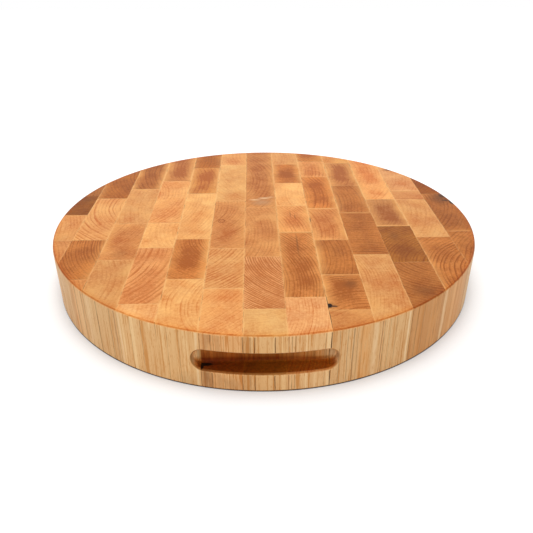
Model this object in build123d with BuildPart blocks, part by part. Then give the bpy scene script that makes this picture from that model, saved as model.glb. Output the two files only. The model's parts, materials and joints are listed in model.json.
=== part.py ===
from build123d import *
import os
from math import hypot, sqrt

# A round end-grain chopping block. Rows of upright maple blocks are glued side by side,
# cut to a disc, eased round the rim and routed with two finger grips in the side.
# Lengths are in millimetres. The origin is the centre of the underside,
# +Z is up, the rows run along Y, and the front grip faces -Y.

# The disc
diameter = 457.2
thickness = 57.15
rim_round = 2.0

# The outer rows, at their widest. The rows between them share the rest of the disc equally.
left_row_width = 27.4
right_row_width = 33.8

# The finger grips, centred on the middle row and cut straight in along it to a flat back,
# so that they are deepest in the middle
grip_length = 121.5
grip_height = 20.5
grip_end_depth = 9.5
grip_corner_round = 2.5
grip_mouth_round = 2.0

# How far cuts run past what they cut, and how near an edge counts as on the rim
overrun = 5.0
touch = 0.01

# Where each row is jointed, as shares of its half length: rows from left to right,
# and in each row from the front, -1, to the back, 1
row_joint_shares = [
    (-0.525, 0.075, 0.595),
    (-0.865, -0.355, 0.355),
    (-0.53, -0.09, 0.455),
    (-0.86, -0.36, -0.075, 0.54),
    (-0.625, -0.255, 0.31, 0.73),
    (-0.685, -0.345, 0.195, 0.755),
    (-0.83, -0.425, 0.105),
    (-0.755, -0.19, 0.125, 0.445, 0.76),
    (-0.865, -0.6, -0.28, 0.09, 0.55, 0.825),
    (-0.45, 0.035, 0.425, 0.83),
    (-0.58, -0.16, 0.23),
    (-0.355, 0.26, 0.43),
    (-0.38, 0.505),
]

radius = diameter / 2
outside = radius + overrun
last_row = len(row_joint_shares) - 1
row_width = (diameter - left_row_width - right_row_width) / (last_row - 1)
middle_row_centre = (left_row_width - right_row_width) / 2
grip_reach = grip_length / 2 + abs(middle_row_centre)
grip_back = sqrt(radius**2 - grip_reach**2) - grip_end_depth


def row_edges(row):
    """Where a row begins and ends across the disc. The outer rows run on past the rim."""
    left = left_row_width - radius + (row - 1) * row_width
    right = left + row_width
    if row == 0:
        left = -outside
    if row == last_row:
        right = outside
    return left, right


def half_length(left, right):
    """Half of a row's length where the row is longest."""
    nearest = max(left, -right, 0)
    return sqrt(radius**2 - nearest**2)


def on_side(edge):
    """True for an edge round the mouth of a grip, on the side of the disc."""
    middle = edge @ 0.5
    return hypot(middle.X, middle.Y) > radius - touch


def grip_plane(outward):
    """The upright plane of a grip's flat back, facing out of the disc along Y, either way."""
    middle = (middle_row_centre, outward * grip_back, thickness / 2)
    return Plane(origin=middle, x_dir=(1, 0, 0), z_dir=(0, outward, 0))


# The pocket of one grip: a slot with round ends and an eased back corner
with BuildPart() as pocket:
    with BuildSketch(Plane.XY) as slot:
        SlotOverall(grip_length, grip_height)
    extrude(amount=radius - grip_back + overrun)
    fillet(pocket.faces().sort_by(Axis.Z)[0].edges(), grip_corner_round)

# The whole disc with its grips, from which each block takes its share
with BuildPart() as disc:
    with BuildSketch(Plane.XY) as face:
        Circle(radius)
    extrude(amount=thickness)
    with Locations(grip_plane(-1), grip_plane(1)):
        add(pocket.part, mode=Mode.SUBTRACT)
    fillet(disc.edges(Select.LAST).filter_by(on_side), grip_mouth_round)
    rims = disc.edges().filter_by(GeomType.CIRCLE).group_by(Axis.Z)
    fillet(rims[0] + rims[-1], rim_round)

# The blocks
os.makedirs("parts", exist_ok=True)
for row, joint_shares in enumerate(row_joint_shares):
    left, right = row_edges(row)
    reach = half_length(left, right)
    joints = [-outside] + [share * reach for share in joint_shares] + [outside]
    for number, (front, back) in enumerate(zip(joints, joints[1:]), start=1):
        with BuildPart() as block:
            with BuildSketch(Plane.XY.offset(-overrun)) as outline:
                with Locations(((left + right) / 2, (front + back) / 2)):
                    Rectangle(right - left, back - front)
            extrude(amount=thickness + 2 * overrun)
            add(disc.part, mode=Mode.INTERSECT)
        block.part.label = f"row_{row + 1:02d}_block_{number}"
        export_step(block.part, f"parts/{block.part.label}.step")
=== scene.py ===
import bpy
import json
from math import cos, radians, sin
from mathutils import Matrix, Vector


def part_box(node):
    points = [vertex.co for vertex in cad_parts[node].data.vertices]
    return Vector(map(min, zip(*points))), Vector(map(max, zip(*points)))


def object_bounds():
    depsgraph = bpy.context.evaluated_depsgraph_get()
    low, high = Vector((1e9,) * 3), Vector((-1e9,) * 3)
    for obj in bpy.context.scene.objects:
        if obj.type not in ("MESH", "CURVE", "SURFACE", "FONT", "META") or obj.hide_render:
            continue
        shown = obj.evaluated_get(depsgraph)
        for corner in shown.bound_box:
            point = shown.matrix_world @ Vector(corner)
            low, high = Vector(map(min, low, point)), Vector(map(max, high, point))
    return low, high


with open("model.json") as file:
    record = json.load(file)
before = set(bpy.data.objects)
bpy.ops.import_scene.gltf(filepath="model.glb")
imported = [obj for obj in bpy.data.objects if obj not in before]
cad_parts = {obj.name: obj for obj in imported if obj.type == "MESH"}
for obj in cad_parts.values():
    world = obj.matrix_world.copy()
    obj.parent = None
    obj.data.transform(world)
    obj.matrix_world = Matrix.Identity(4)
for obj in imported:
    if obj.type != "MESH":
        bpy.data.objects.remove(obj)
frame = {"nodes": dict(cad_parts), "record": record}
cad_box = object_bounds()

# Lengths written in millimetres are turned into metres by this.
MM = 0.001

# The disc, read from the frame
LOW, HIGH = cad_box
RADIUS = (HIGH.y - LOW.y) / 2
THICKNESS = HIGH.z
FAR = 4 * RADIUS

# The camera, where the photograph's outline and joint lines put it: its place and lens in
# millimetres, and its angles in degrees
CAMERA_PLACE = (-10.2, -593.0, 325.9)
CAMERA_HEADING = 1.247
CAMERA_DIP = 29.44
CAMERA_ROLL = -0.168
CAMERA_LENS = 38.57
SENSOR_WIDTH = 36.0

# Mean end-grain colour of each tone of maple
TONES = {
    "pale_maple": (0.924, 0.421, 0.128),
    "honey_maple": (0.804, 0.325, 0.094),
    "amber_maple": (0.736, 0.273, 0.071),
    "tan_maple": (0.647, 0.231, 0.055),
    "brown_maple": (0.534, 0.163, 0.0265),
    "dark_maple": (0.346, 0.091, 0.003),
}
# How far each channel of each tone swings either way, to the lightest grain and to the deepest,
# as a share of the tone, and what is left of the tone in the middle of that swing
SWINGS = {
    "pale_maple": (0.17, 0.38, 0.53),
    "honey_maple": (0.18, 0.43, 0.6),
    "amber_maple": (0.22, 0.42, 0.58),
    "tan_maple": (0.24, 0.42, 0.6),
    "brown_maple": (0.3, 0.43, 0.65),
    "dark_maple": (0.28, 0.42, 0.6),
}
MID_GRAIN = 0.945
# How strongly each tone pales beside its joints, where glue kept the oil out
MARGINS = {
    "pale_maple": 0.45,
    "honey_maple": 0.55,
    "amber_maple": 0.7,
    "tan_maple": 0.75,
    "brown_maple": 0.7,
    "dark_maple": 0.35,
}
MARGIN_COLOUR = (0.86, 0.39, 0.11, 1)
# How far the paler margins reach from the joints of a row, and from the joints within it
SIDE_MARGIN_REACH = 12 * MM
END_MARGIN_REACH = 7 * MM
PALE_GLUE = (1.0, 0.58, 0.22, 1)
DARK_GLUE = (0.25, 0.09, 0.022, 1)
# How bright the outline of a block of each tone is, where the planed edge shows beside its joints
OUTLINES = {
    "pale_maple": 0.45,
    "honey_maple": 0.3,
    "amber_maple": 0.18,
    "tan_maple": 0.1,
    "brown_maple": 0.05,
    "dark_maple": 0.0,
}
# What the router's heat and painted shade leave of each channel on the back of a grip, on its
# floor and at its lower lip, and how the clean ends of a grip differ from the side: a painted light
GRIP_BURN_AND_SHADE = (0.3, 0.12, 0.03, 1)
GRIP_FLOOR_BURN_AND_SHADE = (0.22, 0.1, 0.009, 1)
GRIP_LIP = (0.435, 0.36, 0.265, 1)
GRIP_ENDS_PAINTED_LIGHT = (0.95, 1.03, 1.1, 1)
# Broad patches of each tone are more golden or more rosy than the rest.
GOLDEN = (0.995, 1.015, 1.04, 1)
ROSY = (1.005, 0.985, 0.95, 1)
# Long grain is part straw, and swings between these tints of its colour.
STRAW = (0.88, 0.59, 0.29, 1)
STRAW_SHARE = 0.72
LONG_LIGHT = (1.08, 1.17, 1.26, 1)
LONG_DEEP = (0.78, 0.58, 0.38, 1)
# What the oil leaves of each channel on the eased rim, and what handling leaves beside it
RIM_OIL = (0.76, 0.55, 0.36, 1)
RIM_WEAR = (0.98, 0.88, 0.74, 1)
# How much each pattern darkens the end grain, or lightens it where below zero
END_GROUND = 0.34
RING_WEIGHT = 1.4
BLOTCH_WEIGHT = 1.4
CLOUD_WEIGHT = 0.45
MOTTLE_WEIGHT = 1.0
CORE_WEIGHT = 1.25
FIBRE_WEIGHT = 0.5
SPECK_WEIGHT = 0.15
RAY_WEIGHT = -0.25
END_LIMITS = (-0.25, 1.35)
# The same for the long grain, which keeps a share of the end grain's own pattern
SIDE_GROUND = 0.36
SIDE_SHARE = 0.4
FINE_LINE_WEIGHT = 0.55
BOLD_LINE_WEIGHT = 1.5
PORE_WEIGHT = 0.5
PALE_LINE_WEIGHT = -0.5
SIDE_LIMITS = (-0.4, 2.0)
# The finish
BUMP_STRENGTH = 0.6
SHINE = 0.1

# How each block was sawn from its tree, by row from the left and then from the front: shade,
# bearing of the pith in degrees from +X, its distance and the ring width in millimetres, ring
# strength, how much darker its core is, and the sides with a paler margin (left, right, front,
# back; capitals strong)
SAWN = [
    [
        (-0.05, 200, 150, 3.5, 0.3, 0.1, ""),
        (0.0, 192, 170, 4.0, 0.2, 0.0, "b"),
        (-0.5, 262, 120, 4.5, 0.3, 0.1, ""),
        (-1.3, 195, 150, 4.0, 0.3, 0.0, ""),
    ],
    [
        (-0.2, 200, 120, 4.0, 0.3, 0.0, ""),
        (0.1, 22, 120, 3.0, 0.65, 0.1, "r"),
        (0.1, 26, 90, 4.2, 0.5, 0.0, "lr"),
        (-0.9, 17, 190, 4.5, 0.35, 0.0, "l"),
    ],
    [
        (-0.6, 182, 120, 4.4, 0.25, 0.0, "r"),
        (-0.1, 150, 100, 3.0, 0.2, 0.1, "l"),
        (-0.2, 2, 180, 5.0, 0.15, 0.1, "lb"),
        (-0.2, 8, 140, 5.0, 0.3, 0.3, "LRb"),
    ],
    [
        (0.2, 175, 120, 4.0, 0.2, 0.0, "b"),
        (0.6, 158, 125, 5.6, 0.5, 0.1, "r"),
        (0.2, 10, 120, 4.8, 0.2, 0.0, "f"),
        (0.6, 172, 110, 4.0, 0.25, 0.1, "r"),
        (0.0, 5, 150, 5.0, 0.3, 0.4, "LRb"),
    ],
    [
        (0.0, 358, 72, 3.6, 0.3, 0.0, "b"),
        (1.1, 36, 80, 3.0, 0.35, 0.3, "lR"),
        (0.1, 165, 190, 4.2, 0.2, 0.15, "rfb"),
        (-0.4, 185, 150, 5.0, 0.3, 0.4, "LR"),
        (-0.6, 180, 120, 4.0, 0.2, 0.1, "lr"),
    ],
    [
        (0.5, 138, 150, 3.2, 0.25, 0.1, "lb"),
        (-0.2, 142, 140, 3.6, 0.5, 0.0, "r"),
        (-0.2, 150, 90, 3.6, 0.3, 0.1, "r"),
        (-0.4, 24, 170, 5.0, 0.15, 0.15, "lR"),
        (0.3, 10, 120, 5.0, 0.15, 0.1, "lr"),
    ],
    [
        (-0.7, 100, 60, 3.0, 0.15, 0.0, "b"),
        (0.8, 37, 92, 2.4, 1.1, 0.0, ""),
        (-0.3, 182, 160, 4.0, 0.25, 0.1, "r"),
        (0.0, 186, 140, 5.0, 0.3, 0.2, "r"),
    ],
    [
        (0.5, 172, 150, 2.8, 0.35, 0.0, ""),
        (0.8, 196, 140, 3.0, 0.75, 0.2, "lrb"),
        (0.6, 200, 130, 3.4, 0.45, 0.35, "LRFb"),
        (0.3, 2, 150, 4.2, 0.15, 0.0, "b"),
        (1.0, 268, 110, 5.5, 0.3, 0.4, "LR"),
        (-0.1, 180, 120, 4.0, 0.2, 0.0, "l"),
    ],
    [
        (-0.4, 120, 90, 4.0, 0.25, 0.1, "b"),
        (0.7, 285, 62, 4.2, 0.4, 0.4, "Lb"),
        (-0.2, 176, 150, 3.5, 0.35, 0.1, "L"),
        (0.2, 186, 120, 4.0, 0.3, 0.2, "RBl"),
        (1.6, 184, 140, 5.0, 0.3, 0.4, "lR"),
        (0.5, 178, 140, 5.0, 0.3, 0.3, "LR"),
        (0.1, 20, 90, 4.0, 0.3, 0.2, "lr"),
    ],
    [
        (-0.4, 178, 160, 3.0, 0.25, 0.0, "lf"),
        (-0.3, 268, 150, 5.0, 0.3, 0.2, "b"),
        (-0.1, 182, 140, 4.0, 0.25, 0.1, "lr"),
        (-0.1, 176, 120, 5.0, 0.3, 0.5, "LR"),
        (0.0, 170, 120, 4.0, 0.15, 0.1, "lr"),
    ],
    [
        (-0.7, 58, 70, 4.0, 0.45, 0.2, ""),
        (0.0, 316, 80, 3.2, 0.5, 0.3, ""),
        (-0.7, 165, 150, 4.0, 0.35, 0.5, "RFl"),
        (1.0, 168, 160, 5.0, 0.15, 0.25, "Lr"),
    ],
    [
        (0.2, 334, 70, 4.2, 0.5, 0.1, "l"),
        (-0.3, 164, 140, 5.0, 0.15, 0.0, "l"),
        (0.0, 266, 120, 5.0, 0.2, 0.1, "lb"),
        (0.3, 170, 140, 4.5, 0.15, 0.1, "l"),
    ],
    [
        (-0.3, 330, 120, 4.0, 0.4, 0.1, ""),
        (-0.7, 160, 120, 4.5, 0.4, 0.1, "f"),
        (0.2, 150, 110, 4.0, 0.4, 0.0, ""),
    ],
]


class Graph:
    """Adds nodes to one tree and links them, so that a pattern reads as a formula."""

    def __init__(self, tree):
        self.tree = tree

    def add(self, kind, **settings):
        node = self.tree.nodes.new(kind)
        for name, value in settings.items():
            setattr(node, name, value)
        return node

    def feed(self, socket, value):
        if isinstance(value, bpy.types.NodeSocket):
            self.tree.links.new(value, socket)
        else:
            socket.default_value = value

    def math(self, operation, *values, clamp=False):
        node = self.add("ShaderNodeMath", operation=operation, use_clamp=clamp)
        for socket, value in zip(node.inputs, values):
            self.feed(socket, value)
        return node.outputs[0]

    def product(self, first, *others):
        """The values multiplied together."""
        for other in others:
            first = self.math("MULTIPLY", first, other)
        return first

    def swayed(self, value, noise, weight):
        """The value, moved either way by this much of a noise whose middle is 0.5."""
        return self.math("MULTIPLY_ADD", self.math("SUBTRACT", noise, 0.5), weight, value)

    def limited(self, value, low, high):
        """The value, held between two limits."""
        return self.math("MAXIMUM", self.math("MINIMUM", value, high), low)

    def vector(self, operation, *values, output="Vector"):
        node = self.add("ShaderNodeVectorMath", operation=operation)
        for socket, value in zip(node.inputs, values):
            self.feed(socket, value)
        return node.outputs[output]

    def length(self, vector):
        return self.vector("LENGTH", vector, output="Value")

    def scaled(self, vector, factor):
        node = self.add("ShaderNodeVectorMath", operation="SCALE")
        self.feed(node.inputs["Vector"], vector)
        self.feed(node.inputs["Scale"], factor)
        return node.outputs[0]

    def split(self, vector):
        node = self.add("ShaderNodeSeparateXYZ")
        self.feed(node.inputs[0], vector)
        return node.outputs

    def join(self, x, y, z):
        node = self.add("ShaderNodeCombineXYZ")
        for socket, value in zip(node.inputs, (x, y, z)):
            self.feed(socket, value)
        return node.outputs[0]

    def ease(self, value, start, end, low=0.0, high=1.0):
        """Goes smoothly from low to high as value goes from start to end."""
        node = self.add("ShaderNodeMapRange", interpolation_type="SMOOTHSTEP")
        for socket, number in zip(node.inputs, (value, start, end, low, high)):
            self.feed(socket, number)
        return node.outputs[0]

    def mix(self, factor, first, second, blend="MIX"):
        node = self.add("ShaderNodeMix", data_type="RGBA", blend_type=blend)
        factor_socket, first_socket, second_socket = node.inputs[0], node.inputs[6], node.inputs[7]
        self.feed(factor_socket, factor)
        self.feed(first_socket, first)
        self.feed(second_socket, second)
        return node.outputs[2]

    def tinted(self, colour, tint):
        """A colour with each of its channels multiplied by the tint's."""
        return self.mix(1.0, colour, tint, "MULTIPLY")

    def power(self, colour, exponent):
        """A colour with each of its channels raised to a power."""
        node = self.add("ShaderNodeGamma")
        node.inputs["Color"].default_value = colour
        self.feed(node.inputs["Gamma"], exponent)
        return node.outputs[0]

    def noise(self, vector, detail=2.0, roughness=0.5, output="Fac"):
        node = self.add("ShaderNodeTexNoise")
        self.feed(node.inputs["Vector"], vector)
        node.inputs["Scale"].default_value = 1.0
        node.inputs["Detail"].default_value = detail
        node.inputs["Roughness"].default_value = roughness
        return node.outputs[output]


class Point:
    """The point of wood that is being coloured, with what the patterns need to know of it."""

    def __init__(self, g, ins):
        self.g = g
        coordinates = g.add("ShaderNodeTexCoord")
        self.position = coordinates.outputs["Object"]
        self.x, self.y, self.z = g.split(self.position)
        seed = ins["Seed"]
        self.seed = g.join(seed, g.product(seed, 1.7), g.product(seed, 0.6))
        # 0 where the surface stands upright, 1 where it lies flat
        self.upness = g.math("ABSOLUTE", g.split(coordinates.outputs["Normal"])[2])
        # How much of the surface is end grain
        self.end = g.ease(self.upness, 0.3, 0.85)
        # How far inside the round of the disc it is
        self.inward = inwardness(g, self.x, self.y)
        # 1 between the heights of the grips' lips, 0 above and below
        off_middle = g.math("ABSOLUTE", g.math("SUBTRACT", self.z, THICKNESS / 2))
        self.level = g.ease(off_middle, 12.0 * MM, 13.5 * MM, 1.0, 0.0)
        # How far it is from the block's joints: left, right, front and back
        self.gaps = joint_distances(g, ins, self.x, self.y)
        self.side_gap = g.math("MINIMUM", self.gaps[0], self.gaps[1])
        self.end_gap = g.math("MINIMUM", self.gaps[2], self.gaps[3])
        self.nearest_gap = g.math("MINIMUM", self.side_gap, self.end_gap)

    def grain(self, across, along, detail=2.0, roughness=0.5, output="Fac", place=None):
        """Noise with features this many millimetres across the grain and along it."""
        if place is None:
            place = self.position
        stretch = (1 / (across * MM), 1 / (across * MM), 1 / (along * MM))
        stretched = self.g.vector("MULTIPLY", place, stretch)
        return self.g.noise(self.g.vector("ADD", stretched, self.seed), detail, roughness, output)


def inwardness(g, x, y):
    """How far inside the round of the disc a point is."""
    return g.math("SUBTRACT", RADIUS, g.length(g.join(x, y, 0)))


def joint_distances(g, ins, x, y):
    """How far a point is from the block's left, right, front and back joints."""
    left, front, _ = g.split(ins["Low edge"])
    right, back, _ = g.split(ins["High edge"])
    pairs = ((x, left), (right, x), (y, front), (back, y))
    return [g.math("SUBTRACT", far, near) for far, near in pairs]


def wandering(g, point):
    """The point's place, moved a little across the grain so that rings wander as a tree's do."""
    moved = point.position
    for across, along, sway in ((38, 260, 4), (5, 70, 0.4)):
        drift = point.grain(across, along, 1.0, output="Color")
        drift = g.vector("SUBTRACT", drift, (0.5, 0.5, 0.5))
        moved = g.vector("ADD", moved, g.scaled(drift, sway * MM))
    return moved


def round_the_pith(g, ins, place):
    """Returns (distance from the pith, distance round it)."""
    offset = g.vector("MULTIPLY", g.vector("SUBTRACT", place, ins["Pith"]), (1, 1, 0))
    sideways = g.vector("CROSS_PRODUCT", (0, 0, 1), ins["Towards"])
    outward = g.vector("DOT_PRODUCT", offset, ins["Towards"], output="Value")
    round_by = g.vector("DOT_PRODUCT", offset, sideways, output="Value")
    arc = g.product(g.math("ARCTAN2", round_by, outward), ins["Reach"])
    return g.length(offset), arc


def stretched_noise(g, seed, lengths, sizes, detail):
    """Noise over three lengths, with features of this many millimetres along each of them."""
    place = g.join(*[g.math("DIVIDE", length, size * MM) for length, size in zip(lengths, sizes)])
    return g.noise(g.vector("ADD", place, seed), detail)


def rings(g, ins, point, place, distance, arc):
    """How dark the yearly rings make the wood, with fine threads that run along them."""
    years = g.math("DIVIDE", distance, ins["Ring width"])
    uneven = g.noise(g.join(g.product(years, 0.45), ins["Seed"], 0), 1.0)
    years = g.math("MULTIPLY_ADD", uneven, 1.6, years)
    through = g.math("FRACT", years)
    rise = g.ease(through, 0.3, 0.92)
    fall = g.ease(through, 0.93, 1.0, 1.0, 0.0)
    late = g.product(g.math("POWER", rise, 2.0), fall)
    one_year = g.add("ShaderNodeTexWhiteNoise", noise_dimensions="2D")
    g.feed(one_year.inputs["Vector"], g.join(g.math("FLOOR", years), ins["Seed"], 0))
    late = g.product(late, g.math("MULTIPLY_ADD", one_year.outputs["Value"], 0.8, 0.35))

    height = g.split(place)[2]
    threads = stretched_noise(g, point.seed, (distance, arc, height), (0.9, 26, 90), 2.0)
    threads = g.ease(threads, 0.5, 0.78)
    patchy = g.ease(point.grain(24, 150, 1.0, place=place), 0.32, 0.66, 0.4, 1.25)
    return g.product(g.math("MULTIPLY_ADD", threads, 0.5, late), patchy)


def rays(g, point, place, distance, arc):
    """Fine pale rays that run outward from the pith, short along the grain."""
    height = g.split(place)[2]
    noise = stretched_noise(g, point.seed, (arc, distance, height), (0.55, 9, 2.6), 1.0)
    return g.ease(noise, 0.58, 0.76)


def end_darkness(g, ins, point, dark, speck, ray):
    """How far the end grain goes from its lightest colour, 0, to its deepest, 1."""
    inner = g.ease(point.side_gap, 2 * MM, 16 * MM)
    core = g.product(inner, g.ease(point.end_gap, 2 * MM, 24 * MM))
    core = g.product(core, g.ease(point.grain(26, 120, 1.0), 0.25, 0.6, 0.5, 1.2))
    dark = g.math("ADD", dark, g.product(core, g.product(ins["Core"], CORE_WEIGHT)))
    dark = g.swayed(dark, point.grain(1.2, 12, 1.0), FIBRE_WEIGHT)
    dark = g.math("MULTIPLY_ADD", speck, SPECK_WEIGHT, dark)
    dark = g.math("MULTIPLY_ADD", ray, RAY_WEIGHT, dark)
    return g.limited(dark, *END_LIMITS)


def upright_lines(g, noise, inner, outer):
    """Thin lines where a noise passes through its middle."""
    off = g.math("ABSOLUTE", g.math("SUBTRACT", noise, 0.5))
    return g.ease(off, inner, outer, 1.0, 0.0)


def side_darkness(g, point, dark):
    """How far the long grain goes from light to deep: upright lines and pores on an even ground."""
    broken = g.ease(point.grain(2.5, 22, 2.0), 0.4, 0.6, 0.15, 1.0)
    fine = g.product(upright_lines(g, point.grain(2.6, 260, 1.0), 0.0, 0.06), broken)
    bold = g.product(upright_lines(g, point.grain(9, 500, 1.5), 0.003, 0.022), broken)
    pores = g.ease(point.grain(0.6, 5, 1.0, 0.6), 0.58, 0.72)
    pale = g.ease(point.grain(4, 300, 1.0), 0.6, 0.72)
    dark = g.swayed(SIDE_GROUND, dark, SIDE_SHARE)
    dark = g.math("MULTIPLY_ADD", fine, FINE_LINE_WEIGHT, dark)
    dark = g.math("MULTIPLY_ADD", bold, BOLD_LINE_WEIGHT, dark)
    dark = g.math("MULTIPLY_ADD", pores, PORE_WEIGHT, dark)
    dark = g.math("MULTIPLY_ADD", pale, PALE_LINE_WEIGHT, dark)
    return g.limited(dark, *SIDE_LIMITS)


def wood_colours(g, ins, point, end_dark, side_dark):
    """Returns (end grain's colour, long grain's colour). End grain is deeper: it drinks the oil."""
    warm = g.ease(point.grain(16, 90, 2.0), 0.35, 0.65)
    tone = g.mix(warm, g.tinted(ins["Tone"], GOLDEN), g.tinted(ins["Tone"], ROSY))
    end_colour = g.mix(end_dark, g.tinted(tone, ins["Lighter"]), g.tinted(tone, ins["Deeper"]))
    straw = g.mix(ins["Straw share"], tone, STRAW)
    long_colour = g.mix(side_dark, g.tinted(straw, LONG_LIGHT), g.tinted(straw, LONG_DEEP))
    return end_colour, long_colour


def margins(g, ins, gaps):
    """Returns (how pale a point is for being near a joint, how much it is on a joint's line)."""
    left_strength, front_strength, _ = g.split(ins["Low margin"])
    right_strength, back_strength, _ = g.split(ins["High margin"])
    strengths = (left_strength, right_strength, front_strength, back_strength)
    reaches = (SIDE_MARGIN_REACH, SIDE_MARGIN_REACH, END_MARGIN_REACH, END_MARGIN_REACH)
    total = 0.0
    line = 0.0
    for gap, strength, reach in zip(gaps, strengths, reaches):
        near = g.math("POWER", g.ease(gap, 0.0, reach, 1.0, 0.0), 1.4)
        total = g.math("MAXIMUM", total, g.product(near, strength))
        beside = g.ease(gap, 0.5 * MM, 2.2 * MM, 1.0, 0.0)
        line = g.math("MAXIMUM", line, g.product(beside, strength))
    return total, line


def with_joints(g, ins, point, glue, end_colour, long_colour):
    """The two grains joined, with paler margins beside the joints and the glue as a hairline."""
    patchy = g.ease(point.grain(22, 200, 1.0), 0.3, 0.7, 0.5, 1.2)
    margin, line = margins(g, ins, point.gaps)
    margin = g.math("MULTIPLY", margin, patchy, clamp=True)
    end_colour = g.mix(margin, end_colour, MARGIN_COLOUR)
    outline = g.ease(point.nearest_gap, 0.3 * MM, 1.7 * MM, 1.0, 0.0)
    line = g.math("MAXIMUM", g.product(line, 0.5), g.product(outline, ins["Outline"]))
    line = g.math("MULTIPLY", line, patchy, clamp=True)
    end_colour = g.mix(line, end_colour, PALE_GLUE)
    kind = point.grain(14, 90, 2.0)
    pale_share = g.math("MULTIPLY_ADD", margin, 0.6, g.ease(kind, 0.45, 0.65, 0.0, 0.3))
    pale_glue = g.math("MULTIPLY", glue, pale_share, clamp=True)
    dark_glue = g.product(glue, g.ease(kind, 0.38, 0.44, 0.55, 0.0))
    end_colour = g.mix(pale_glue, end_colour, PALE_GLUE)
    colour = g.mix(point.end, long_colour, end_colour)
    return g.mix(dark_glue, colour, DARK_GLUE)


def with_rim(g, point, colour):
    """The colour with its eased edge, which takes most oil and most handling."""
    eased = g.product(g.ease(point.upness, 0.45, 0.85), g.ease(point.upness, 0.96, 0.998, 1.0, 0.0))
    eased = g.product(eased, g.math("MULTIPLY_ADD", point.level, -0.8, 1.0))
    eased = g.product(eased, g.ease(point.grain(7, 60, 2.0), 0.35, 0.65, 0.55, 1.05))
    colour = g.mix(eased, colour, g.tinted(colour, RIM_OIL))
    worn = g.product(g.ease(point.inward, 1.5 * MM, 9.0 * MM, 1.0, 0.0), point.end)
    return g.mix(worn, colour, g.tinted(colour, RIM_WEAR))


def back_burn_and_shade(g, ins, point, lighter_to_right):
    """Router burn and painted shade on the back of a grip: most low down and in the corner with the
    floor, less to the right, hardly any at the ends, whose walls get a painted light tint.
    """
    off_ends = g.ease(ins["Burn and shade"], 0.75, 0.95)
    off_ends = g.product(off_ends, g.ease(point.x, 36 * MM, 50 * MM, 1.0, 0.25))
    # Painted shade: darker low on the back and lighter higher up, as light falls into a grip
    power = g.ease(point.z, 20.5 * MM, 24.0 * MM, 1.13, 0.72)
    power = g.math("SUBTRACT", power, g.ease(point.z, 23 * MM, 34 * MM, 0.0, 0.35))
    power = g.product(power, off_ends, lighter_to_right)
    # Painted shade in the corner between the back and the floor
    corner = g.ease(point.z, 20 * MM, 24.5 * MM, 0.9, 0.0)
    corner = g.product(corner, g.math("MULTIPLY_ADD", off_ends, 0.6, 0.4))
    burn_and_shade = g.power(GRIP_BURN_AND_SHADE, g.math("MAXIMUM", power, corner))
    # Painted light: the clean ends get a lighter tint instead of the burn
    return g.mix(off_ends, g.tinted(burn_and_shade, GRIP_ENDS_PAINTED_LIGHT), burn_and_shade)


def floor_burn_and_shade(g, ins, point):
    """Router burn and painted shade on the floor of a grip, lighter to the right."""
    power = g.product(ins["Burn and shade"], g.ease(point.x, -50 * MM, 60 * MM, 1.05, 0.6))
    return g.power(GRIP_FLOOR_BURN_AND_SHADE, power)


def lip_burn_and_shade(g, ins, point, lighter_to_right):
    """How a grip's rounded lips are darkened: the lower one by router burn and painted shade, most
    at its left, and the upper one all along by a painted shade where its rounding faces down.
    """
    upper = g.product(lighter_to_right, g.math("MULTIPLY_ADD", ins["Burn and shade"], 1.08, -0.18))
    lower = g.product(ins["Burn and shade"], g.ease(point.x, -22 * MM, 34 * MM, 1.1, 0.35))
    # Painted shade on the upper lip
    above = g.ease(point.z, 34 * MM, 37 * MM)
    return g.mix(above, g.power(GRIP_LIP, lower), g.power(GRIP_BURN_AND_SHADE, upper))


def with_grip_burn_and_shade(g, ins, point, inside, colour):
    """The colour with the grips burnt by the router and painted with shade and light: darker
    within, lighter to the right and at the ends. A burn is a power of its own colour.
    """
    # Painted light: the burn and painted shade fade towards the right
    lighter_to_right = g.ease(point.x, -10 * MM, 55 * MM, 1.12, 0.45)
    on_floor = g.ease(point.z, 19.5 * MM, 21.5 * MM, 1.0, 0.0)
    on_floor = g.product(g.ease(point.upness, 0.4, 0.9), on_floor)
    burn_and_shade = g.mix(on_floor, back_burn_and_shade(g, ins, point, lighter_to_right), floor_burn_and_shade(g, ins, point))
    uneven = g.ease(point.grain(2.6, 60, 3.0, 0.6), 0.35, 0.65, 0.8, 1.22)
    burnt_and_shaded = g.scaled(g.tinted(colour, burn_and_shade), uneven)
    on_lip = g.product(g.ease(point.inward, 0.05 * MM, 0.5 * MM), point.level)
    lipped = g.mix(on_lip, colour, g.tinted(colour, lip_burn_and_shade(g, ins, point, lighter_to_right)))
    return g.mix(inside, lipped, burnt_and_shaded)


MAPLE_INPUTS = (
    ("Tone", "NodeSocketColor"),
    ("Lighter", "NodeSocketColor"),
    ("Deeper", "NodeSocketColor"),
    ("Seed", "NodeSocketFloat"),
    ("Pith", "NodeSocketVector"),
    ("Towards", "NodeSocketVector"),
    ("Reach", "NodeSocketFloat"),
    ("Ring width", "NodeSocketFloat"),
    ("Ring strength", "NodeSocketFloat"),
    ("Core", "NodeSocketFloat"),
    ("Burn and shade", "NodeSocketFloat"),
    ("Straw share", "NodeSocketFloat"),
    ("Outline", "NodeSocketFloat"),
    ("Low edge", "NodeSocketVector"),
    ("High edge", "NodeSocketVector"),
    ("Low margin", "NodeSocketVector"),
    ("High margin", "NodeSocketVector"),
)
MAPLE_OUTPUTS = (
    ("Colour", "NodeSocketColor"),
    ("Roughness", "NodeSocketFloat"),
    ("Height", "NodeSocketFloat"),
)


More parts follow.
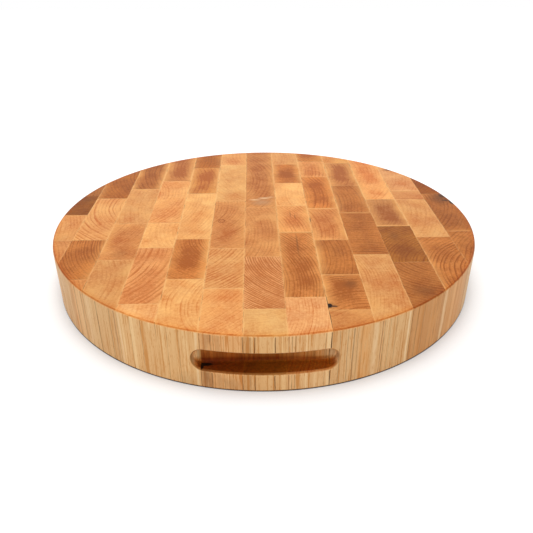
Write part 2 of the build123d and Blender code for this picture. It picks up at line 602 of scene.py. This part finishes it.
def make_maple():
    """The node group of solid maple: end grain above and below, long grain round the side."""
    tree = bpy.data.node_groups.new("upright_maple", "ShaderNodeTree")
    for name, kind in MAPLE_INPUTS:
        tree.interface.new_socket(name, in_out="INPUT", socket_type=kind)
    for name, kind in MAPLE_OUTPUTS:
        tree.interface.new_socket(name, in_out="OUTPUT", socket_type=kind)
    g = Graph(tree)
    ins = g.add("NodeGroupInput").outputs
    outs = g.add("NodeGroupOutput").inputs

    point = Point(g, ins)
    place = wandering(g, point)
    distance, arc = round_the_pith(g, ins, place)
    ring = g.product(rings(g, ins, point, place, distance, arc), ins["Ring strength"])
    ray = rays(g, point, place, distance, arc)
    mottle = point.grain(2.6, 30, 3.0, 0.6)
    speck = g.ease(point.grain(0.7, 14, 1.0), 0.56, 0.74)
    glue = g.ease(point.nearest_gap, 0.2 * MM, 0.6 * MM, 1.0, 0.0)
    inside = g.product(g.ease(point.inward, 1.2 * MM, 2.8 * MM), point.level)

    dark = g.math("MULTIPLY_ADD", ring, RING_WEIGHT, END_GROUND)
    dark = g.swayed(dark, point.grain(34, 200, 1.0), BLOTCH_WEIGHT)
    dark = g.swayed(dark, point.grain(11, 100, 1.0), CLOUD_WEIGHT)
    dark = g.swayed(dark, mottle, MOTTLE_WEIGHT)
    end_dark = end_darkness(g, ins, point, dark, speck, ray)
    side_dark = side_darkness(g, point, dark)
    end_colour, long_colour = wood_colours(g, ins, point, end_dark, side_dark)
    colour = with_joints(g, ins, point, glue, end_colour, long_colour)
    colour = with_rim(g, point, colour)
    colour = with_grip_burn_and_shade(g, ins, point, inside, colour)

    # Dull in the grips, where the burnt wood is bare, and glossiest on the end grain
    roughness = g.math("MULTIPLY_ADD", mottle, 0.16, 0.4)
    roughness = g.math("MULTIPLY_ADD", speck, 0.1, roughness)
    roughness = g.math("MULTIPLY_ADD", point.end, -0.04, roughness)
    roughness = g.math("MULTIPLY_ADD", inside, 0.3, roughness)

    height = g.product(speck, -0.05)
    height = g.math("MULTIPLY_ADD", ring, 0.03, height)
    height = g.math("MULTIPLY_ADD", mottle, 0.05, height)
    height = g.math("MULTIPLY_ADD", glue, -0.04, height)

    g.feed(outs["Colour"], colour)
    g.feed(outs["Roughness"], roughness)
    g.feed(outs["Height"], height)
    return tree


def from_place(g, position, place, size):
    """Returns (offset, distance) from the middle of an ellipsoid, in which its surface is at 1."""
    reach = [1 / (length * MM) for length in size]
    offset = g.vector("MULTIPLY", g.vector("SUBTRACT", position, [c * MM for c in place]), reach)
    return offset, g.length(offset)


def spot(g, position, colour, place, size, ragged, soft, paint, strength):
    """Paints a blemish: an ellipsoid at a place, in millimetres, with ragged and soft edges."""
    offset, distance = from_place(g, position, place, size)
    wobble = g.noise(g.vector("MULTIPLY", offset, (2.2, 2.2, 2.2)), 3.0, 0.6)
    far = g.swayed(distance, wobble, ragged)
    inside = g.ease(far, 1.0 - soft, 1.0, strength, 0.0)
    return g.mix(inside, colour, (*paint, 1))


def streak(g, position, colour, place, half_width, paint, strength):
    """Paints an upright streak on the side at a place along X. Lengths are in millimetres."""
    upness = g.math("ABSOLUTE", g.split(g.add("ShaderNodeTexCoord").outputs["Normal"])[2])
    x, y, _ = g.split(position)
    wander = g.noise(g.vector("MULTIPLY", position, (90, 90, 60)), 2.0)
    off = g.math("ABSOLUTE", g.math("SUBTRACT", g.swayed(x, wander, 1.5 * MM), place * MM))
    here = g.ease(off, 0.2 * half_width * MM, half_width * MM, strength, 0.0)
    broken = g.noise(g.vector("MULTIPLY", position, (400, 400, 70)), 2.0)
    broken = g.ease(broken, 0.3, 0.55, 0.45, 1.0)
    outside = g.ease(inwardness(g, x, y), 1.0 * MM, 2.5 * MM, 1.0, 0.0)
    upright = g.ease(upness, 0.1, 0.45, 1.0, 0.0)
    return g.mix(g.product(here, broken, outside, upright), colour, (*paint, 1))


def ring_knot(g, position, colour, place, size):
    """Paints a small closed knot: a dark outline round a slightly deeper heart."""
    offset, distance = from_place(g, position, place, size)
    wobble = g.noise(g.vector("MULTIPLY", offset, (1.6, 1.6, 0.4)), 2.0)
    far = g.swayed(distance, wobble, 0.5)
    rim = g.product(g.ease(far, 0.62, 0.9), g.ease(far, 0.95, 1.3, 1.0, 0.0))
    heart = g.ease(far, 0.6, 1.0, 0.3, 0.0)
    return g.mix(g.math("MAXIMUM", rim, heart), colour, g.tinted(colour, KNOT_TINT))


# The paints of the blemishes, and what a knot leaves of each channel
BLACK = (0.015, 0.005, 0.001)
BARK = (0.05, 0.018, 0.008)
UMBER = (0.16, 0.055, 0.012)
RUST = (0.46, 0.19, 0.065)
AMBER = (0.6, 0.22, 0.05)
CREAM = (0.97, 0.68, 0.38)
RED_BROWN = (0.1, 0.014, 0.004)
GOLD = (0.88, 0.4, 0.12)
SMOKE = (0.6, 0.3, 0.13)
KNOT_TINT = (0.66, 0.5, 0.38, 1)
# The height of the top, in millimetres
TOP = THICKNESS / MM
# Blemishes by block, with the painted shade of a chip among them: place, size, raggedness,
# softness, paint and strength of each
SPOTS = {
    "row_01_block_2": [((-216, -70, TOP), (22, 50, 200), 0.6, 1.0, AMBER, 0.5)],
    "row_01_block_3": [
        ((-212, 52, TOP), (13, 12, 60), 0.9, 1.0, UMBER, 0.35),
        ((-216, 12, TOP), (22, 2.2, 60), 0.3, 0.9, UMBER, 0.5),
    ],
    "row_03_block_2": [((-145, -88, TOP), (13, 18, 120), 0.9, 1.0, UMBER, 0.2)],
    "row_05_block_1": [((-69, -218, 2), (16, 14, 17), 0.9, 1.0, UMBER, 0.22)],
    "row_06_block_1": [
        ((-53, -223, 12), (9, 9, 34), 0.9, 1.0, UMBER, 0.4),
        ((-31, -226, 6), (14, 9, 14), 0.9, 1.0, UMBER, 0.3),
        ((-50, -212.5, 19), (8, 5, 4), 0.8, 0.9, RED_BROWN, 0.8),
        ((-53.5, -214.2, 18.3), (7, 2.3, 2.5), 0.6, 0.3, BLACK, 1.0),
        ((-56.5, -217.0, 18.3), (2.2, 4.5, 2.5), 0.5, 0.4, BLACK, 1.0),
    ],
    "row_07_block_4": [
        ((-2, 39, TOP), (19, 14, 60), 0.5, 1.0, SMOKE, 0.8),
        ((-10, 47.5, TOP), (10, 3.5, 60), 0.3, 1.0, CREAM, 0.6),
        ((1, 52, TOP), (10, 4, 60), 0.3, 1.0, CREAM, 0.75),
        ((9, 55, TOP), (7, 3, 60), 0.3, 1.0, CREAM, 0.4),
    ],
    "row_08_block_2": [((33, -70, TOP), (1.6, 34, 120), 0.6, 0.9, UMBER, 0.5)],
    "row_08_block_3": [
        ((30, 4, TOP), (0.9, 11, 60), 0.5, 0.8, UMBER, 0.5),
        ((35, -3, TOP), (0.9, 9, 60), 0.5, 0.8, UMBER, 0.5),
    ],
    "row_08_block_5": [
        ((33, 103, TOP), (15, 1.2, 60), 0.4, 0.9, UMBER, 0.5),
        ((33, 108, TOP), (15, 1.2, 60), 0.4, 0.9, UMBER, 0.35),
    ],
    "row_09_block_1": [((50.8, -206, TOP), (0.9, 15, 60), 0.7, 0.5, BARK, 0.8)],
    "row_09_block_2": [
        ((71, -137.5, TOP), (13, 1.0, 60), 0.4, 0.9, UMBER, 0.5),
        ((72, -141.5, TOP), (12, 0.9, 60), 0.4, 0.9, UMBER, 0.4),
        ((76, -151, TOP), (11, 11, 60), 0.9, 1.0, UMBER, 0.45),
        # The chip: its hollow painted black and painted shade round it, with no hole in the shape
        ((52, -186.5, TOP), (7, 6, 5), 0.6, 0.9, UMBER, 0.6),
        ((52.3, -186.3, TOP), (2.9, 3.6, 3), 0.5, 0.25, BLACK, 1.0),
        ((56.5, -187.4, TOP), (4.0, 1.5, 3), 0.5, 0.5, BARK, 0.9),
        ((50.8, -182, TOP), (0.9, 15, 60), 0.7, 0.5, BARK, 0.8),
    ],
    "row_09_block_4": [((51.6, -12, TOP), (1.2, 8, 60), 0.6, 0.7, BARK, 0.6)],
    "row_10_block_2": [
        ((105, -85, TOP), (16, 1.0, 60), 0.4, 0.9, UMBER, 0.35),
        ((105, -90, TOP), (16, 1.4, 60), 0.4, 0.9, UMBER, 0.4),
    ],
    "row_11_block_1": [((140, -165, TOP), (16, 14, 60), 0.9, 1.0, UMBER, 0.35)],
    "row_11_block_2": [((137, -55, TOP), (10, 14, 60), 0.9, 1.0, UMBER, 0.35)],
    "row_12_block_4": [((173, 147, TOP), (10, 7, 26), 0.9, 0.9, UMBER, 0.85)],
    "row_13_block_2": [
        ((214, 46, TOP), (18, 24, 45), 0.9, 1.0, UMBER, 0.7),
        ((219, 54, TOP), (6, 8, 14), 0.8, 0.7, BARK, 0.8),
        ((219, 39, TOP), (7, 3, 14), 0.8, 0.7, BARK, 0.7),
        ((225.5, 34, TOP), (5, 10, 16), 0.8, 0.6, BARK, 1.0),
    ],
}
# Upright streaks on the front of the side, by block: place along X, half width, paint and strength
STREAKS = {
    "row_02_block_1": [
        (-183, 22, GOLD, 0.3),
        (-182, 4, RUST, 0.35),
        (-176, 1.0, UMBER, 0.4),
        (-168, 0.7, UMBER, 0.4),
    ],
    "row_03_block_1": [
        (-161, 3.5, CREAM, 0.4),
        (-150.5, 0.9, UMBER, 0.5),
        (-137, 0.6, UMBER, 0.5),
        (-132, 0.9, RUST, 0.8),
    ],
    "row_04_block_1": [
        (-127.5, 1.4, CREAM, 0.7),
        (-117, 0.5, UMBER, 0.35),
        (-107, 0.5, UMBER, 0.35),
    ],
    "row_05_block_1": [
        (-84, 0.5, UMBER, 0.35),
        (-74, 0.5, UMBER, 0.35),
        (-59.4, 1.6, CREAM, 0.6),
    ],
    "row_06_block_1": [
        (-51, 7, RUST, 0.6),
        (-41.5, 4, RUST, 0.4),
        (-56.6, 0.6, UMBER, 0.6),
        (-47.5, 0.8, UMBER, 0.6),
        (-45, 0.5, UMBER, 0.5),
        (-37, 0.5, UMBER, 0.3),
        (-21.7, 0.6, UMBER, 0.8),
    ],
    "row_07_block_1": [
        (-17, 6, RUST, 0.33),
        (-15.5, 0.5, UMBER, 0.4),
        (-11.8, 0.7, UMBER, 0.9),
        (4.6, 0.7, UMBER, 0.9),
    ],
    "row_08_block_1": [
        (15.6, 0.6, RUST, 0.9),
        (18.3, 0.5, UMBER, 0.5),
        (21, 0.5, UMBER, 0.6),
        (45.5, 0.5, UMBER, 0.4),
        (50.3, 0.8, BARK, 0.9),
    ],
    "row_09_block_1": [
        (57.5, 0.6, UMBER, 0.4),
        (64.5, 0.6, UMBER, 0.4),
        (69.5, 0.8, UMBER, 0.55),
        (73, 0.5, UMBER, 0.4),
        (76.8, 0.7, UMBER, 0.5),
        (80, 8, GOLD, 0.5),
    ],
    "row_10_block_1": [
        (88.8, 3, CREAM, 0.6),
        (94.6, 0.7, RUST, 0.9),
        (96.6, 0.6, UMBER, 0.5),
        (102, 0.5, UMBER, 0.3),
        (108, 0.5, UMBER, 0.3),
        (120.6, 1.4, CREAM, 0.9),
    ],
    "row_11_block_1": [
        (141, 26, GOLD, 0.5),
        (139, 10, RUST, 0.3),
        (123.6, 0.6, UMBER, 0.5),
        (129.5, 0.9, UMBER, 0.35),
        (136, 0.8, UMBER, 0.25),
    ],
    "row_12_block_1": [(176, 22, GOLD, 0.45), (161, 3, CREAM, 0.6)],
}
# Blocks whose share of a grip has less router burn and painted shade than the rest, and the
# painted light of the clean ends
LESS_BURNT_AND_SHADED = {
    "row_05_block_1": 0.75,
    "row_09_block_1": 0.74,
    "row_05_block_5": 0.74,
    "row_09_block_7": 0.74,
}
# Blocks whose long grain is nearer to their own tone than to straw
SIDES = {
    "row_06_block_1": 0.5,
    "row_07_block_1": 0.52,
    "row_11_block_1": 0.45,
    "row_12_block_1": 0.55,
}
# Blocks of a greyer, pinker maple than the rest of their tone, or a yellower one where below zero
GREYER = {
    "row_01_block_1": 0.15,
    "row_02_block_4": -1.0,
    "row_04_block_1": 0.4,
    "row_04_block_2": 0.4,
    "row_05_block_2": 0.3,
    "row_05_block_4": -0.7,
    "row_05_block_5": -1.2,
    "row_07_block_2": 1.0,
    "row_08_block_1": 0.6,
    "row_08_block_2": 0.6,
    "row_09_block_2": 0.7,
    "row_09_block_7": -0.7,
    "row_10_block_5": -0.5,
    "row_11_block_1": 0.2,
    "row_11_block_3": 0.2,
    "row_12_block_1": 0.2,
    "row_12_block_4": 0.6,
    "row_13_block_2": -0.2,
    "row_13_block_3": -0.8,
}
# Blocks whose colour lies off every tone, with that colour
OWN_TONES = {
    "row_11_block_2": (0.414, 0.128, 0.0145),
    "row_12_block_3": (0.68, 0.232, 0.064),
}
# Small closed knots: place and size
RING_KNOTS = {"row_06_block_3": ((-47.5, -12.5, TOP), (3.6, 4.8, 60))}


def shade_of(tone, shade, grey):
    """A tone's colour made lighter or darker, by a fifth for a shade of 1, and greyer."""
    red, green, blue = (channel * (1 + 0.2 * shade) for channel in tone)
    return (red, green * (1 + 0.1 * grey), blue * (1 + 0.45 * grey), 1)


def margin_strength(pale_sides, side):
    """How strong the pale margin of one side is, from the letters of a block's pale sides."""
    if side.upper() in pale_sides:
        return 1.0
    return 0.5 if side in pale_sides else 0.0


def edges_of(node, row, block, blocks_in_row):
    """The block's low and high corners, with the sides that lie on the rim put far away."""
    low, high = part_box(node)
    left = low.x if row > 1 else -FAR
    right = high.x if row < len(SAWN) else FAR
    front = low.y if block > 1 else -FAR
    back = high.y if block < blocks_in_row else FAR
    return (left, front, 0), (right, back, 0)


def maple_material(node, slot, maple, row, block, blocks_in_row):
    """The material of one block: upright maple sawn from its own place in a tree."""
    shade, bearing, distance, ring_width, ring_strength, core, pale_sides = SAWN[row - 1][block - 1]
    strengths = [margin_strength(pale_sides, side) * MARGINS[slot] for side in "lrfb"]
    left, right, front, back = strengths
    low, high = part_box(node)
    middle = (low + high) / 2
    outward = (cos(radians(bearing)), sin(radians(bearing)))
    pith = (middle.x + outward[0] * distance * MM, middle.y + outward[1] * distance * MM, 0)
    low_edge, high_edge = edges_of(node, row, block, blocks_in_row)
    swings = SWINGS[slot]
    values = {
        "Tone": shade_of(OWN_TONES.get(node, TONES[slot]), shade, GREYER.get(node, 0)),
        "Lighter": (*[MID_GRAIN + swing for swing in swings], 1),
        "Deeper": (*[MID_GRAIN - swing for swing in swings], 1),
        "Seed": 7.3 * row + 2.9 * block,
        "Pith": pith,
        "Towards": (-outward[0], -outward[1], 0),
        "Reach": distance * MM,
        "Ring width": ring_width * MM,
        "Ring strength": ring_strength,
        "Core": core,
        "Low margin": (left, front, 0),
        "High margin": (right, back, 0),
        "Burn and shade": LESS_BURNT_AND_SHADED.get(node, 1.0),
        "Straw share": SIDES.get(node, STRAW_SHARE),
        "Outline": OUTLINES[slot],
        "Low edge": low_edge,
        "High edge": high_edge,
    }
    material = bpy.data.materials.new(f"maple_{node}")
    material.use_nodes = True
    g = Graph(material.node_tree)
    shader = material.node_tree.nodes["Principled BSDF"]
    wood = g.add("ShaderNodeGroup", node_tree=maple)
    for name, value in values.items():
        wood.inputs[name].default_value = value
    colour = wood.outputs["Colour"]
    position = g.add("ShaderNodeTexCoord").outputs["Object"]
    for line in STREAKS.get(node, []):
        colour = streak(g, position, colour, *line)
    for blemish in SPOTS.get(node, []):
        colour = spot(g, position, colour, *blemish)
    if node in RING_KNOTS:
        colour = ring_knot(g, position, colour, *RING_KNOTS[node])
    bump = g.add("ShaderNodeBump")
    bump.inputs["Strength"].default_value = BUMP_STRENGTH
    bump.inputs["Distance"].default_value = MM
    g.feed(bump.inputs["Height"], wood.outputs["Height"])
    g.feed(shader.inputs["Base Color"], colour)
    g.feed(shader.inputs["Roughness"], wood.outputs["Roughness"])
    g.feed(shader.inputs["Normal"], bump.outputs["Normal"])
    shader.inputs["Specular IOR Level"].default_value = SHINE
    return material


def dress_blocks():
    """Gives every block its own piece of maple."""
    maple = make_maple()
    slots = {part["node"]: part["material_slot"] for part in frame["record"]["subparts"]}
    for row, sawn in enumerate(SAWN, start=1):
        for block in range(1, len(sawn) + 1):
            node = f"row_{row:02d}_block_{block}"
            mesh = frame["nodes"][node].data
            mesh.materials.clear()
            mesh.materials.append(maple_material(node, slots[node], maple, row, block, len(sawn)))


def seen_directly(g):
    """1 for a ray that shows the background: from the camera, a mirror or through glass."""
    path = g.add("ShaderNodeLightPath")
    direct = g.math("MAXIMUM", path.outputs["Is Camera Ray"], path.outputs["Is Glossy Ray"])
    return g.math("MAXIMUM", direct, path.outputs["Is Transmission Ray"])


# The studio
FLOOR_SIZE = 6.0
FLOOR_COLOUR = (0.6, 0.6, 0.6, 1)
# The floor's colour under the block's rim, a painted shadow
PAINTED_CREVICE_SHADE = (0.02, 0.02, 0.02, 1)
FLOOR_ROUGHNESS = 0.9
# How bright the floor's own white is where it is open, and how much of it is left beside the
# block, where the dimming is a painted shadow
FLOOR_GLOW = 0.66
NEAR_GLOW = 0.72
# How far the floor looks for the block: for the soft shadow, close to it and under its rim
SHADOW_REACH = 0.055
NEAR_REACH = 0.014
CREVICE_REACH = 0.003
WORLD_LIGHT = 0.74
# The soft boxes: place and target in metres, width and depth, and power
SOFT_BOXES = {
    "overhead_box": ((-0.25, 0.35, 1.5), (0, 0, 0), (1.5, 1.2), 6),
    "front_box": ((-0.1, -1.8, 0.8), (0, 0, 0.03), (2.4, 0.8), 7),
}


def openness(g, reach):
    """How open a point of the floor is to the room, looking this far about."""
    node = g.add("ShaderNodeAmbientOcclusion", samples=16)
    node.inputs["Distance"].default_value = reach
    return node.outputs["AO"]


def make_floor():
    """A plain pale floor whose glow is dimmed beside the block and whose colour is darkened under
    its rim: a painted shadow over the block's own soft shadow.
    """
    bpy.ops.mesh.primitive_plane_add(size=FLOOR_SIZE, location=(0, 0, 0))
    floor = bpy.context.object
    floor.name = "studio_floor"
    material = bpy.data.materials.new("pale_floor")
    material.use_nodes = True
    g = Graph(material.node_tree)
    shader = material.node_tree.nodes["Principled BSDF"]
    # Painted shadow: the glow dims, and the colour darkens, where the block is near
    clear = g.ease(openness(g, CREVICE_REACH), 0.3, 0.62)
    glow = g.ease(openness(g, SHADOW_REACH), -0.1, 1.0, 0.0, FLOOR_GLOW)
    near = g.ease(openness(g, NEAR_REACH), 0.45, 1.0, NEAR_GLOW, 1.0)
    glow = g.product(seen_directly(g), g.product(glow, near, clear))
    g.feed(shader.inputs["Base Color"], g.mix(clear, PAINTED_CREVICE_SHADE, FLOOR_COLOUR))
    g.feed(shader.inputs["Emission Strength"], glow)
    shader.inputs["Roughness"].default_value = FLOOR_ROUGHNESS
    shader.inputs["Specular IOR Level"].default_value = 0.0
    shader.inputs["Emission Color"].default_value = (1, 1, 1, 1)
    floor.data.materials.append(material)


def make_world():
    """White where it is seen, and a plain soft light on everything else."""
    world = bpy.data.worlds.new("studio")
    bpy.context.scene.world = world
    world.use_nodes = True
    g = Graph(world.node_tree)
    background = world.node_tree.nodes["Background"]
    background.inputs["Color"].default_value = (1, 1, 1, 1)
    g.feed(background.inputs["Strength"], g.ease(seen_directly(g), 0.0, 1.0, WORLD_LIGHT, 1.0))


def make_lamp(name, place, target, size, power):
    """A soft box at a place, in metres, that faces a target."""
    light = bpy.data.lights.new(name, "AREA")
    light.shape = "RECTANGLE"
    light.size, light.size_y = size
    light.energy = power
    lamp = bpy.data.objects.new(name, light)
    lamp.location = place
    direction = [t - p for t, p in zip(target, place)]
    lamp.rotation_euler = Vector(direction).to_track_quat("-Z", "Y").to_euler()
    bpy.context.scene.collection.objects.link(lamp)


def make_camera():
    """The camera at the photograph's place, tilt and lens."""
    data = bpy.data.cameras.new("photo_camera")
    data.sensor_width = SENSOR_WIDTH
    data.lens = CAMERA_LENS
    camera = bpy.data.objects.new("photo_camera", data)
    camera.location = [length * MM for length in CAMERA_PLACE]
    heading = Matrix.Rotation(-radians(CAMERA_HEADING), 3, "Z")
    dip = Matrix.Rotation(radians(90 - CAMERA_DIP), 3, "X")
    roll = Matrix.Rotation(radians(CAMERA_ROLL), 3, "Z")
    camera.rotation_euler = (heading @ dip @ roll).to_euler()
    bpy.context.scene.collection.objects.link(camera)
    bpy.context.scene.camera = camera


make_camera()
make_world()
make_floor()
for name, settings in SOFT_BOXES.items():
    make_lamp(name, *settings)
dress_blocks()
bpy.context.scene.view_settings.view_transform = "Standard"
